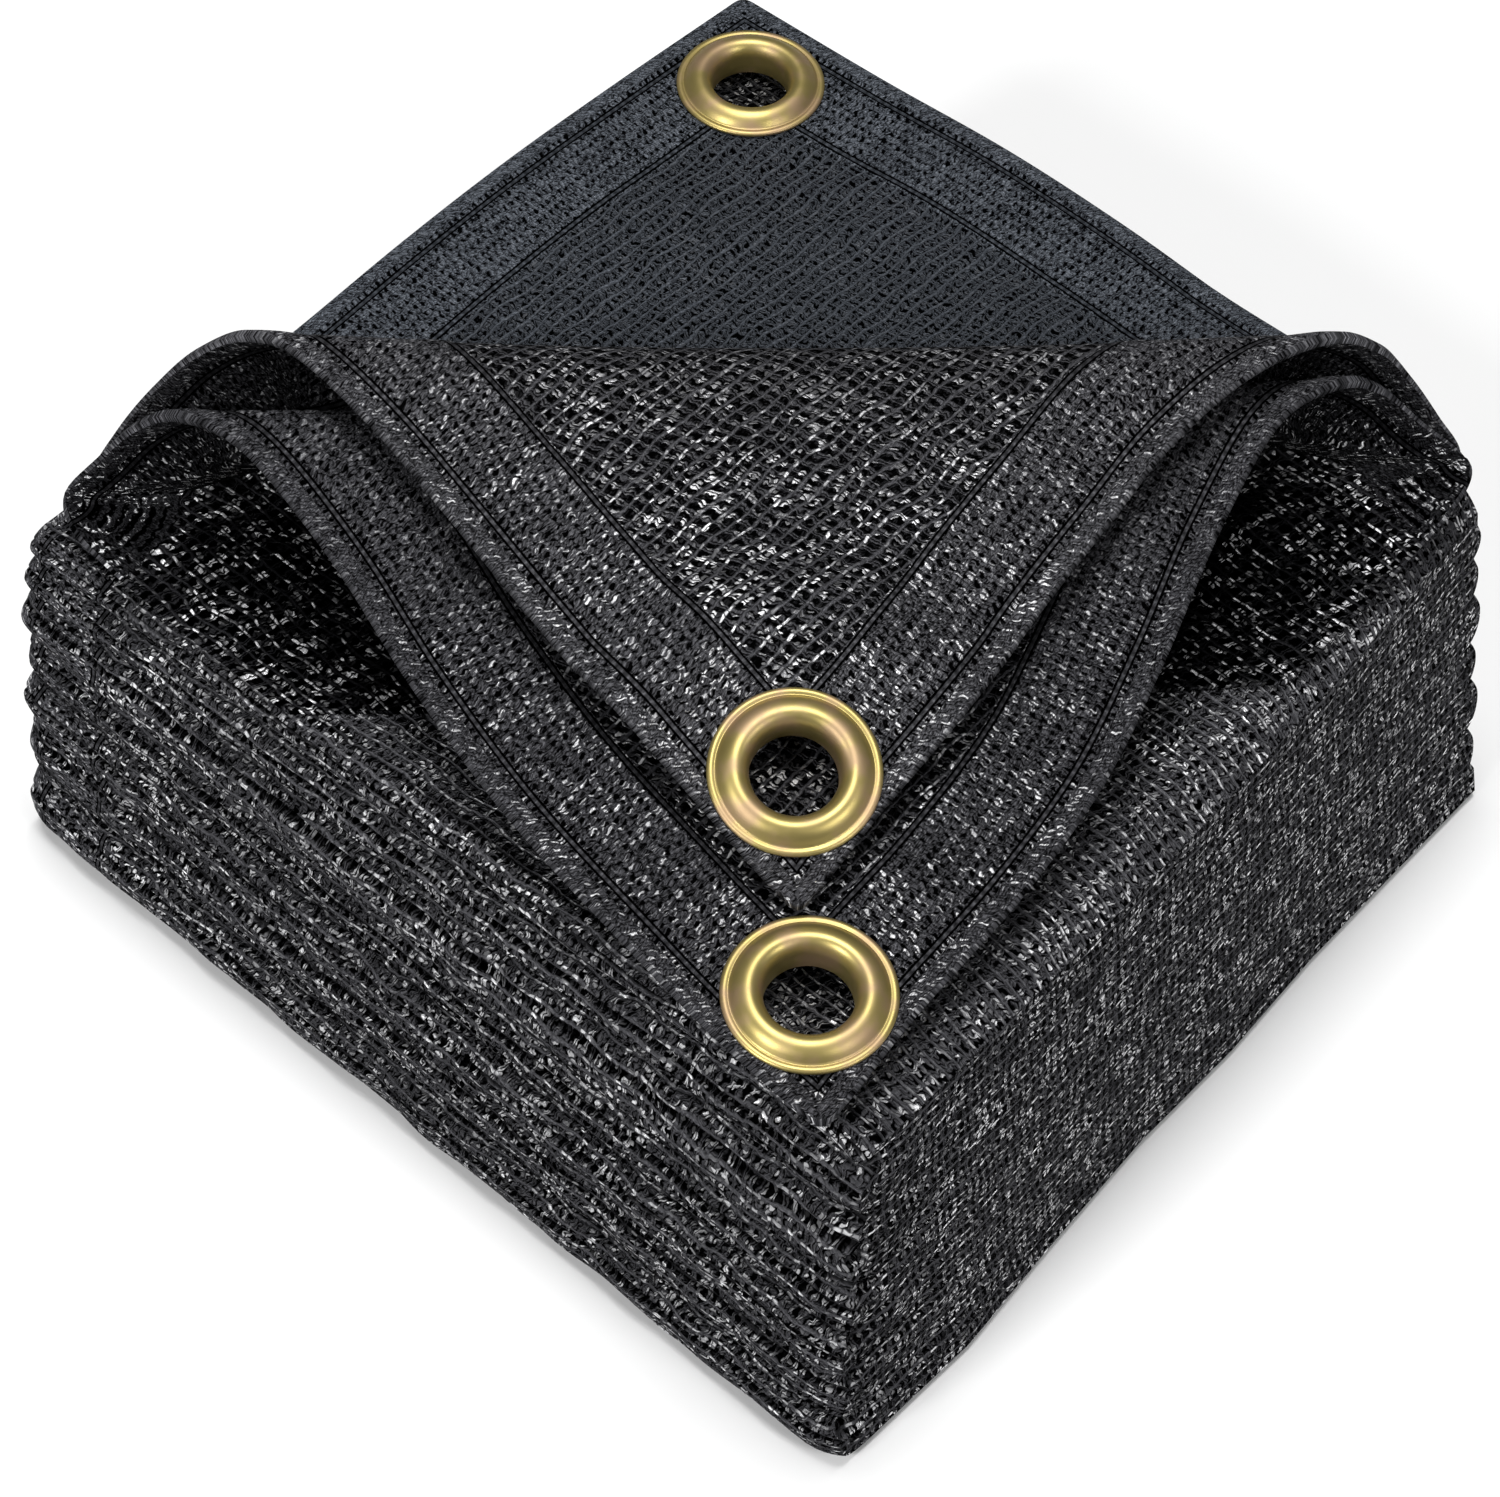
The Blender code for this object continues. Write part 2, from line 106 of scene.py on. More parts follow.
def noise(vector, scale, detail=2.0):
    """Value noise on a plane."""
    node = knit.nodes.new("ShaderNodeTexNoise")
    node.noise_dimensions = "2D"
    node.inputs["Scale"].default_value = scale
    node.inputs["Detail"].default_value = detail
    knit.links.new(vector, node.inputs["Vector"])
    return node.outputs["Fac"]


def chance(x, y):
    """Random value of a cell given by two whole numbers."""
    node = knit.nodes.new("ShaderNodeTexWhiteNoise")
    node.noise_dimensions = "2D"
    knit.links.new(pair(x, y), node.inputs["Vector"])
    return node.outputs["Value"]


def petals(along, across, long, wide, jitter, share):
    """Short rounded bits of strand in a loose grid: their relief, and how much painted highlight each one takes."""
    node = knit.nodes.new("ShaderNodeTexVoronoi")
    node.voronoi_dimensions = "2D"
    node.inputs["Scale"].default_value = 1.0
    node.inputs["Randomness"].default_value = jitter
    knit.links.new(pair(calc("DIVIDE", along, long), calc("DIVIDE", across, wide)), node.inputs["Vector"])
    relief = dome(node.outputs["Distance"], 0.55)
    parts = knit.nodes.new("ShaderNodeSeparateColor")
    knit.links.new(node.outputs["Color"], parts.inputs[0])
    # a share of the bits take a painted highlight
    lit = ramp(parts.outputs[0], 1.0 - share - 0.05, 1.0 - share + 0.15)
    lit = calc("MULTIPLY", lit, calc("MULTIPLY_ADD", parts.outputs[1], 0.8, 0.2))
    return relief, calc("MULTIPLY", lit, ramp(relief, 0.35, 0.85))


# spacing of the ridges and the hem's widths, in from its edge, in millimetres
RIDGE = 2.5
ROPE = 3.0
OUTER_SEAM = 4.7
INNER_SEAM = 20.4
HEM = 21.3
STITCH = 1.9
# the hem map also carries painted shade: a distance beyond any real one, or a run beyond it, darkens the colour
SHADE_CODE_START = 120.0
SHADE_CODE_END = 250.0
UNDERSIDE_SHADE = 10000.0
panel = knit.nodes.new("ShaderNodeSeparateXYZ")
knit.links.new(knit_in.outputs["Panel"], panel.inputs[0])
hem = knit.nodes.new("ShaderNodeSeparateXYZ")
knit.links.new(knit_in.outputs["Hem"], hem.inputs[0])
wander = calc("MULTIPLY_ADD", noise(knit_in.outputs["Panel"], 0.12, 0.0), 2.0, -1.0)
fine = calc("MULTIPLY_ADD", noise(knit_in.outputs["Panel"], 0.7, 1.0), 1.0, -0.5)
run_p = calc("ADD", calc("ADD", panel.outputs[0], wander), calc("MULTIPLY", fine, 1.5))
run_q = calc("ADD", calc("SUBTRACT", panel.outputs[1], wander), calc("MULTIPLY", fine, 0.5))
turns_q = calc("DIVIDE", run_q, RIDGE)
turns_p = calc("ADD", calc("DIVIDE", run_p, knit_in.outputs["Rung"]),
               calc("MULTIPLY", turns_q, knit_in.outputs["Slant"]))
from_ridge = from_middle(turns_q)
from_rung = from_middle(turns_p)
ridge = dome(from_ridge, 0.30)
rung = dome(calc("SUBTRACT", from_rung, 0.28), 0.25)
strands = noise(pair(calc("MULTIPLY", run_p, 1.5), calc("MULTIPLY", run_q, 4.0)), 1.0, 1.0)
cross_p = calc("ADD", calc("MULTIPLY", run_p, 0.8), calc("MULTIPLY", run_q, 0.6))
cross_q = calc("SUBTRACT", calc("MULTIPLY", run_q, 0.8), calc("MULTIPLY", run_p, 0.6))
filler, filler_lit = petals(cross_p, cross_q, 0.54, 1.10, 1.0, 0.17)
fill = calc("MULTIPLY", knit_in.outputs["Fill"], ramp(hem.outputs[0], 62.0, 130.0, 1.0, 0.4))
mesh_height = calc("MAXIMUM", ridge, calc("MULTIPLY", rung, 0.75))
mesh_height = calc("MAXIMUM", mesh_height, calc("MULTIPLY", calc("MULTIPLY", filler, 0.8), fill))
mesh_height = calc("MULTIPLY_ADD", calc("SUBTRACT", strands, 0.5), 0.35, mesh_height)
# painted highlights: random short segments of ridge, bits of rung and filler bits get a light colour
bit = calc("DIVIDE", run_p, 1.4)
segment = chance(calc("FLOOR", turns_q), calc("FLOOR", bit))
ridge_lit = calc("MULTIPLY", ramp(ridge, 0.70, 0.95), ramp(from_middle(bit), 0.95, 0.5))
ridge_lit = calc("MULTIPLY", ridge_lit, ramp(segment, 0.66, 0.95))
pick = chance(calc("FLOOR", turns_p), calc("FLOOR", turns_q))
rung_lit = calc("MULTIPLY", ramp(rung, 0.5, 0.9), ramp(from_ridge, 0.35, 0.6))
rung_lit = calc("MULTIPLY", rung_lit, ramp(pick, 0.66, 0.95))
filler_lit = calc("MULTIPLY", calc("MULTIPLY", filler_lit, fill), ramp(from_ridge, 0.1, 0.4, 0.3, 1.0))
filler_lit = calc("MINIMUM", calc("MULTIPLY", filler_lit, 2.0), 1.0)
mesh_lit = calc("MAXIMUM", calc("MAXIMUM", ridge_lit, rung_lit), filler_lit)

# the denser hem, with its rows of short strands, its rope-like edge and its two seams
edge = hem.outputs[0]
along = hem.outputs[1]
in_rope = ramp(edge, ROPE + 0.1, ROPE - 0.1)
hem_edge = calc("ADD", edge, calc("MULTIPLY", fine, 1.6))
rope_slant = calc("MULTIPLY_ADD", edge, calc("MULTIPLY", in_rope, 0.7), along)
hem_along = calc("ADD", rope_slant, calc("MULTIPLY", fine, 1.3))
row = calc("DIVIDE", hem_along, 0.80)
row_step = calc("MULTIPLY", chance(calc("FLOOR", row), 7.0), 0.7)
spot_on_row = calc("ADD", calc("DIVIDE", hem_edge, 1.7), row_step)
dash_pick = chance(calc("FLOOR", spot_on_row), calc("FLOOR", row))
dash = calc("MULTIPLY", dome(from_middle(row), 0.9), ramp(from_middle(spot_on_row), 1.0, 0.5))
hole = calc("MULTIPLY", ramp(from_middle(calc("DIVIDE", hem_along, 1.64)), 0.5, 0.2),
            ramp(from_middle(calc("DIVIDE", hem_edge, 2.35)), 0.55, 0.25))
hole = calc("MULTIPLY", hole, calc("SUBTRACT", 1.0, in_rope))
hem_height = calc("MULTIPLY_ADD", dash, 0.35, 0.42)
hem_height = calc("MULTIPLY_ADD", calc("SUBTRACT", dash_pick, 0.5), 0.4, hem_height)
hem_height = calc("MULTIPLY_ADD", calc("SUBTRACT", strands, 0.5), 0.8, hem_height)
hem_height = calc("SUBTRACT", hem_height, calc("MULTIPLY", hole, 0.6))
# painted highlights on some of the hem's dashes, none in its holes, seams or right at its edge
dash_shine = calc("ADD", dash_pick, calc("SUBTRACT", strands, 0.5))
hem_lit = calc("MULTIPLY", ramp(dash, 0.72, 0.97), ramp(dash_shine, 0.62, 1.0))
hem_lit = calc("MULTIPLY", hem_lit, calc("SUBTRACT", 1.0, hole))


def near_line(line, start, end):
    """One on a line that runs at a distance from the hem's edge, none away from it."""
    return ramp(calc("ABSOLUTE", calc("SUBTRACT", edge, line)), start, end)


seam = calc("MAXIMUM", near_line(OUTER_SEAM, 0.60, 0.50), near_line(INNER_SEAM, 0.60, 0.50))
seam_line = near_line(OUTER_SEAM - 0.5, 0.24, 0.08)
for line in (OUTER_SEAM + 0.5, INNER_SEAM - 0.5, INNER_SEAM + 0.5):
    seam_line = calc("MAXIMUM", seam_line, near_line(line, 0.24, 0.08))
cord = calc("MULTIPLY_ADD", calc("SINE", calc("MULTIPLY", along, 2.0 * math.pi / STITCH)), 0.12, 0.55)
hem_height = calc("ADD", calc("MULTIPLY", hem_height, calc("SUBTRACT", 1.0, seam)), calc("MULTIPLY", cord, seam))
hem_height = calc("SUBTRACT", hem_height, calc("MULTIPLY", seam_line, 0.4))
hem_lit = calc("MULTIPLY", hem_lit, calc("SUBTRACT", 1.0, calc("MAXIMUM", seam, seam_line)))
hem_lit = calc("MULTIPLY", hem_lit, ramp(edge, 0.0, 0.8, 0.3, 1.0))
in_hem = ramp(edge, HEM + 0.1, HEM - 0.1)
in_panel = calc("SUBTRACT", 1.0, in_hem)
height = calc("ADD", calc("MULTIPLY", mesh_height, in_panel), calc("MULTIPLY", hem_height, in_hem))
# how much painted highlight each place takes: more on the cut faces, less away from the hems and in the painted
# shade, in patches, and fading towards a turned corner's crest before coming back on its root
glint_share = calc("ADD", ramp(edge, 30.0, 85.0, 1.0, 0.45), ramp(edge, 90.0, 96.0, 0.0, 0.55))
mesh_lit = calc("MULTIPLY", mesh_lit, calc("SUBTRACT", glint_share, ramp(edge, 130.0, 200.0, 0.0, 0.6)))
lit = calc("ADD", calc("MULTIPLY", mesh_lit, in_panel), calc("MULTIPLY", hem_lit, in_hem))
lit = calc("MULTIPLY", calc("MULTIPLY", lit, ramp(wander, -0.3, 0.3, 0.6, 1.0)), knit_in.outputs["Glint"])
from_tip = calc("DIVIDE", calc("MULTIPLY", calc("ADD", panel.outputs[0], panel.outputs[1]), math.sqrt(0.5)),
                knit_in.outputs["Crest"])
crest_glint_fade = calc("MAXIMUM", ramp(from_tip, 0.5, 1.0, 1.0, 0.25), ramp(from_tip, 1.1, 1.25))
lit = calc("MINIMUM", calc("MULTIPLY", lit, crest_glint_fade), 1.0)


def blend_colours(share, first, second, kind="MIX", tree=knit):
    """Mix of two colours."""
    node = tree.nodes.new("ShaderNodeMix")
    node.data_type = "RGBA"
    node.blend_type = kind
    for value, socket in ((share, node.inputs["Factor"]), (first, node.inputs[6]), (second, node.inputs[7])):
        if isinstance(value, float):
            socket.default_value = value
        elif isinstance(value, tuple):
            socket.default_value = (*value, 1.0)
        else:
            tree.links.new(value, socket)
    return node.outputs[2]


# the colour follows the relief: the mesh's gaps are dark, and the strands' lower flanks take painted shade
tone = calc("MULTIPLY", ramp(height, 0.10, 0.95, 0.01, 1.0), calc("MULTIPLY_ADD", strands, 1.8, 0.1))
tone = calc("MULTIPLY", tone, calc("SUBTRACT", 1.0, calc("MULTIPLY", seam_line, 0.8)))
hem_cloth = calc("MULTIPLY", in_hem, calc("SUBTRACT", 1.0, seam))
tone = calc("MULTIPLY", tone, calc("MULTIPLY_ADD", hem_cloth, 0.6, 0.85))
# painted shade: hem distances past any real one darken the colour, and faces whose run carries the underside code
# are darker still
painted_shade = ramp(edge, SHADE_CODE_START, SHADE_CODE_END, 1.0, 0.22)
painted_shade = calc("MULTIPLY", painted_shade, ramp(along, 0.9 * UNDERSIDE_SHADE, 0.9 * UNDERSIDE_SHADE + 1.0, 1.0, 0.3))
tone = calc("MULTIPLY", tone, painted_shade)
tone_grey = knit.nodes.new("ShaderNodeCombineColor")
for k in range(3):
    knit.links.new(tone, tone_grey.inputs[k])
thread = blend_colours(1.0, knit_in.outputs["Tint"], tone_grey.outputs[0], "MULTIPLY")
# the painted highlights mix the thread's colour towards near-white
thread = blend_colours(lit, thread, (0.95, 0.95, 0.97))
knit.links.new(thread, knit_out.inputs["Color"])
knit.links.new(ramp(lit, 0.0, 0.4, 0.42, 0.30), knit_out.inputs["Roughness"])
knit.links.new(height, knit_out.inputs["Height"])


def cloth_material(name, tint, glint, rung, slant, fill, crest, bump_depth):
    """Cloth that takes its knit from the shared group and the mesh's two maps, in millimetres."""
    material = bpy.data.materials.new(name)
    material.use_nodes = True
    tree = material.node_tree
    shader = tree.nodes["Principled BSDF"]
    group = tree.nodes.new("ShaderNodeGroup")
    group.node_tree = knit
    for layer, socket in (("panel", "Panel"), ("hem", "Hem")):
        source = tree.nodes.new("ShaderNodeUVMap")
        source.uv_map = layer
        tree.links.new(source.outputs["UV"], group.inputs[socket])
    group.inputs["Tint"].default_value = (*tint, 1.0)
    for socket, number in (("Glint", glint), ("Rung", rung), ("Slant", slant), ("Fill", fill), ("Crest", crest)):
        group.inputs[socket].default_value = number
    bump = tree.nodes.new("ShaderNodeBump")
    bump.inputs["Strength"].default_value = 1.0
    bump.inputs["Distance"].default_value = bump_depth
    tree.links.new(group.outputs["Height"], bump.inputs["Height"])
    tree.links.new(group.outputs["Color"], shader.inputs["Base Color"])
    tree.links.new(group.outputs["Roughness"], shader.inputs["Roughness"])
    tree.links.new(bump.outputs["Normal"], shader.inputs["Normal"])
    shader.inputs["Metallic"].default_value = 0.4
    shader.inputs["Specular IOR Level"].default_value = 0.0
    shader.inputs["Specular Tint"].default_value = (0.4, 0.4, 0.4, 1.0)
    return material


# The folded pad: a strip of the mesh laid back and forth in seven uneven folds. The
# closed folds show on the front left face, the layers' long edges on the front
# right face, and the whole pad leans in a little towards its top.
DIAGONAL = math.sqrt(0.5)
SHIFT_X = 2.719
SHIFT_Y = 1.624
LEFT_SIDE = 197.0
RIGHT_SIDE = 192.5
FRONT_X = -0.8
FRONT_Y = -139.3
FULL_HEIGHT = 86.5
# heights of the grooves at the front, left, right and back corners
GROOVES = [
    (0.0, 0.0, 0.0, 0.0),
    (10.0, 15.0, 13.5, 11.0),
    (24.0, 31.0, 27.0, 23.0),
    (35.0, 42.0, 38.5, 33.5),
    (47.0, 53.0, 49.5, 45.0),
    (66.0, 64.5, 62.0, 57.0),
    (79.0, 72.0, 71.5, 66.0),
    (86.5, 78.0, 79.5, 72.0),
]
FRONT_GROOVES = [10.0, 24.0, 35.0, 47.0, 57.0, 66.0, 77.0]
# how far each fold steps back at its two ends
FOLD_BACK = [(0.0, 0.8), (1.1, 0.0), (0.3, 1.4), (1.5, 0.4), (0.2, 1.6), (0.9, 0.9), (1.9, 2.0)]
FOLDS = len(FOLD_BACK)
# how far in a fold's bend reaches, and the cloth's thickness at the bend
BEND_REACH = 6.0
BEND_WALL = 2.4
BEND_STEPS = 15
TOP_STEPS = 70


def groove_height(line, along_share, across_share):
    """Height of a groove line at shares of the two sides."""
    front, left, right, back = GROOVES[line]
    near = front + (right - front) * across_share
    far = left + (back - left) * across_share
    level = near + (far - near) * along_share
    if line == 0:
        return level
    arch_along = math.sin(math.pi * along_share)
    arch_across = math.sin(math.pi * across_share)
    swell = 0.8 * math.sin(3.1 * along_share + 1.7 * line) * arch_along
    roll = 0.5 * math.sin(5.0 * across_share + 2.3 * line) * arch_across
    return level + swell + roll + 1.8 * line / FOLDS * arch_along * arch_across


def lean(amount, level, power=1.6):
    """How far a face stands in from its foot at a height."""
    return amount * (max(level, 0.0) / FULL_HEIGHT) ** power


def place(along_share, across_share, level):
    """Point of the pad at shares of its sides and at a height, in the frame's millimetres."""
    low_p = lean(7.5, level) + lean(8.5, level, 0.6) * across_share ** 3
    p = low_p + (LEFT_SIDE - lean(1.0, level) - low_p) * along_share
    low_q = lean(9.8, level)
    q = low_q + (RIGHT_SIDE - lean(1.5, level) - low_q) * across_share
    foot = math.exp(-max(level, 0.0) / 14.0) * max(0.0, 1.0 - 6.0 * along_share) ** 2
    p -= 3.3 * foot * math.exp(-((q - 22.0) / 48.0) ** 2)
    lump = math.exp(-max(level, 0.0) / 22.0)
    p += lump * max(0.0, 1.0 - 6.0 * along_share) * (0.6 * math.sin(q / 6.5) + 0.45 * math.sin(q / 3.9 + 1.0))
    q += lump * max(0.0, 1.0 - 6.0 * across_share) * (0.15 * math.sin(p / 7.5) + 0.2 * math.sin(p / 4.3 + 2.0))
    return (FRONT_X + SHIFT_X + (q - p) * DIAGONAL, FRONT_Y + SHIFT_Y + (p + q) * DIAGONAL, level)


def pad_top(x, y):
    """Height of the pad's top under a point of the frame."""
    p = ((y - SHIFT_Y - FRONT_Y) - (x - SHIFT_X - FRONT_X)) * DIAGONAL
    q = ((y - SHIFT_Y - FRONT_Y) + (x - SHIFT_X - FRONT_X)) * DIAGONAL
    across_share = min(max((q - 9.8) / (RIGHT_SIDE - 11.3), 0.0), 1.0)
    low_p = 7.5 + 8.5 * across_share ** 3
    along_share = min(max((p - low_p) / (LEFT_SIDE - 1.0 - low_p), 0.0), 1.0)
    return groove_height(FOLDS, along_share, across_share)


def pad_ring(share, air):
    """Both sides of the folded strip at a station, as equal lists of (across, height), and the painted shade along
    its creases for each point of the first side.
    """
    first = []
    second = []
    crease = []

    def line_at(line, across):
        return groove_height(line, share, across / RIGHT_SIDE)

    def mid_at(fold, across):
        return (line_at(fold, across) + line_at(fold + 1, across)) / 2.0

    def bend(edge, low, high, inward, eye):
        turned = np.radians(np.linspace(-78.0, 78.0, BEND_STEPS))
        middle = (low + high) / 2.0
        half = (high - low) / 2.0
        outer = [(edge + inward * BEND_REACH * (1.0 - math.cos(t) ** 0.7), middle + half * math.sin(t))
                 for t in turned]
        inner = [(edge + inward * (BEND_WALL + 1.6 * (1.0 - math.cos(t))), middle + eye * math.sin(t))
                 for t in turned]
        return outer, inner

    for fold in range(FOLDS):
        top_fold = fold == FOLDS - 1
        left_edge = FOLD_BACK[fold][0]
        right_edge = RIGHT_SIDE - FOLD_BACK[fold][1]
        start = left_edge + BEND_REACH
        end = right_edge - BEND_REACH
        foot_air = 0.0 if fold == 0 else air
        roof_air = 0.0 if top_fold else air
        first_across = RIGHT_SIDE - (FOLD_BACK[fold][1] + BEND_REACH if fold else 0.5)
        for across in np.linspace(first_across, start, 8):
            first.append((across, line_at(fold, across) + foot_air))
            second.append((across, mid_at(fold, across) - air))
        low = line_at(fold, left_edge) + foot_air
        high = line_at(fold + 1, left_edge) - roof_air
        outer, inner = bend(left_edge, low, high, 1.0, max(air, 0.14 * (high - low)))
        crease += [0.0] * (len(first) - len(crease))
        notches = {0: 0.7, BEND_STEPS - 1: 0.7, 4 + fold % 2: 1.0, 9 + fold % 3 % 2: 1.0}
        depth = 1.3 * (0.6 + 0.4 * math.sin(9.0 * share + 2.1 * fold))
        # the notches' points also take painted shade along the creases
        crease += [notches.get(k, 0.0) for k in range(BEND_STEPS)]
        first += [(x + depth * notches.get(k, 0.0) * (0 < k < BEND_STEPS - 1), z)
                  for k, (x, z) in enumerate(outer)]
        second += inner
        last = right_edge - 0.5 if top_fold else end
        for across in np.linspace(start, last, TOP_STEPS if top_fold else 8):
            first.append((across, line_at(fold + 1, across) - roof_air))
            second.append((across, mid_at(fold, across) + air))
        if not top_fold:
            low = mid_at(fold, right_edge) + air
            high = mid_at(fold + 1, right_edge) - air
            outer, inner = bend(right_edge, low, high, -1.0, max(air, 0.07 * (high - low)))
            first += inner
            second += outer
    crease += [0.0] * (len(first) - len(crease))
    return first, second, crease


NEAR_END = [0.0, 0.5, 1.1, 1.9, 3.0, 4.5, 6.5]
stations = sorted(set(NEAR_END + [LEFT_SIDE - d for d in NEAR_END] + list(np.linspace(9.0, LEFT_SIDE - 9.0, 72))))
# distances given to the hem map where no hem is near: plain mesh, cut layers and creases.
# The cut layers' code gives a more open knit and more painted highlights, the creases' code painted shade.
PLAIN_MESH = 60.0
CUT_FACE = 108.0
CREASE_SHADE_CODE = 260.0
pad_points = []
pad_panel = []
cap_code_and_hollow_shade = []
pad_faces = []
pad_face_maps = []
pad_hem_maps = []
for station in stations:
    share = station / LEFT_SIDE
    from_end = min(station, LEFT_SIDE - station)
    soft = max(0.0, 1.0 - from_end / 7.0) ** 2
    end_air, end_round = (0.05, 0.1) if share < 0.5 else (0.12, 0.5)
    ring_first, ring_second, ring_crease = pad_ring(share, end_air + (0.35 - end_air) * min(1.0, from_end / 10.0))
    round_off = end_round * max(0.0, 1.0 - from_end / 1.1) ** 2
    for k, ((a1, h1), (a2, h2)) in enumerate(zip(ring_first, ring_second)):
        gap_between = math.hypot(a2 - a1, h2 - h1)
        pull = min(round_off / max(gap_between, 0.1), 0.3)
        a1, a2 = a1 + (a2 - a1) * pull, a2 + (a1 - a2) * pull
        h1, h2 = h1 + (h2 - h1) * pull, h2 + (h1 - h2) * pull
        for across, level in ((a1, h1), (a2, h2)):
            rise = level / FULL_HEIGHT
            level = level - 2.6 * soft * rise ** 4 + 1.4 * soft * (1.0 - rise) ** 8
            if share < 0.5:
                level -= 3.2 * max(0.0, 1.0 - station / 14.0) ** 2 * rise ** 6
            shrink = 1.0 - 2.0 * 1.8 * soft / RIGHT_SIDE
            hollow = 0.0
            if station < 6.0:
                hollow = sum(math.exp(-((level - line) / 1.5) ** 2) for line in FRONT_GROOVES)
                hollow *= math.exp(-((across - 2.0) / 5.0) ** 2)
            x, y, z = place(share + hollow * 2.4 * (1.0 - station / 6.0) / LEFT_SIDE if hollow else share,
                            0.5 + (across / RIGHT_SIDE - 0.5) * shrink, level)
            depth = max(0.0, 1.0 - across / 12.0)
            wave = 0.5 * math.sin(station / 5.3 + level * 0.9) + 0.35 * math.sin(station / 2.7 - level * 0.5)
            wave *= depth
            pad_points.append((x - 0.4 * wave, y - 0.4 * wave, max(z + 0.35 * wave, 0.0)))
            pad_panel.append((across, level))
            # the cut layers get their code, raised up to full painted shade in the hollows near the front corner
            cap_code_and_hollow_shade.append((CUT_FACE + (SHADE_CODE_END - CUT_FACE) * min(hollow, 1.0), 0.0))
ring_count = len(ring_first)
ring_run = [0.0]
for k in range(1, ring_count):
    ring_run.append(ring_run[-1] + math.dist(ring_first[k], ring_first[k - 1]))


def painted_top_shade(p, q):
    """Extra hem distance that paints shade on the pad's top, which lies under the turned corners: none within 9 mm
    of its front edges, full from 23 mm in.
    """
    return 200.0 * min(max((min(p, q) - 9.0) / 14.0, 0.0), 1.0)


top_run = ring_run[-TOP_STEPS]
for i in range(len(stations) - 1):
    for k in range(ring_count - 1):
        for side in (0, 1):
            corners = [(i * ring_count + k) * 2 + side, (i * ring_count + k + 1) * 2 + side,
                       ((i + 1) * ring_count + k + 1) * 2 + side, ((i + 1) * ring_count + k) * 2 + side]
            maps = [(stations[i], ring_run[k]), (stations[i], ring_run[k + 1]),
                    (stations[i + 1], ring_run[k + 1]), (stations[i + 1], ring_run[k])]
            if side == 0:
                corners.reverse()
                maps.reverse()
            pad_faces.append(corners)
            pad_face_maps.append(maps)
            # crease points on the outer side get the crease code: painted shade
            crease_shade = [ring_crease[c // 2 % ring_count] if side == 0 else 0.0 for c in corners]
            # the pad's top takes painted shade away from its front edges
            hem_at = [min(LEFT_SIDE - u, PLAIN_MESH) + painted_top_shade(u, v - top_run + 6.0) for u, v in maps]
            pad_hem_maps.append([(off + CREASE_SHADE_CODE * mark, v) for off, mark, (u, v) in zip(hem_at, crease_shade, maps)])
    for k in (0, ring_count - 1):
        corners = [(i * ring_count + k) * 2, ((i + 1) * ring_count + k) * 2,
                   ((i + 1) * ring_count + k) * 2 + 1, (i * ring_count + k) * 2 + 1]
        maps = [(stations[i], 0.0), (stations[i + 1], 0.0), (stations[i + 1], 2.0), (stations[i], 2.0)]
        if k == 0:
            corners.reverse()
            maps.reverse()
        pad_faces.append(corners)
        pad_face_maps.append(maps)
        pad_hem_maps.append([(90.0, 0.0)] * 4)
for i in (0, len(stations) - 1):
    for k in range(ring_count - 1):
        corners = [(i * ring_count + k) * 2, (i * ring_count + k + 1) * 2,
                   (i * ring_count + k + 1) * 2 + 1, (i * ring_count + k) * 2 + 1]
        if i == 0:
            corners.reverse()
        pad_faces.append(corners)
        pad_face_maps.append([pad_panel[c] for c in corners])
        pad_hem_maps.append([cap_code_and_hollow_shade[c] for c in corners])


def mesh_object(name, points, faces, material):
    """Smooth mesh object from points in millimetres."""
    mesh = bpy.data.meshes.new(name)
    mesh.from_pydata([(x * 0.001, y * 0.001, z * 0.001) for x, y, z in points], [], faces)
    mesh.update()
    mesh.materials.append(material)
    mesh.shade_smooth()
    thing = bpy.data.objects.new(name, mesh)
    bpy.context.scene.collection.objects.link(thing)
    return thing


def add_map(thing, layer, face_maps):
    """Flat map in millimetres, given for each corner of each face."""
    uv = thing.data.uv_layers.new(name=layer)
    flat = np.array([value for maps in face_maps for corner in maps for value in corner], dtype=np.float32)
    uv.data.foreach_set("uv", flat)


# its tint is lighter than the turned corners' to make up for the weaker light on the pad's side faces: painted
# light
pad_cloth = cloth_material("pad_knit", (0.082, 0.082, 0.089), 1.0, 1.9, 0.2, 0.8, 1e6, 0.0006)
pad = mesh_object("pad", pad_points, pad_faces, pad_cloth)
add_map(pad, "panel", pad_face_maps)
add_map(pad, "hem", pad_hem_maps)
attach(pad, "root")
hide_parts("cloth_stack")


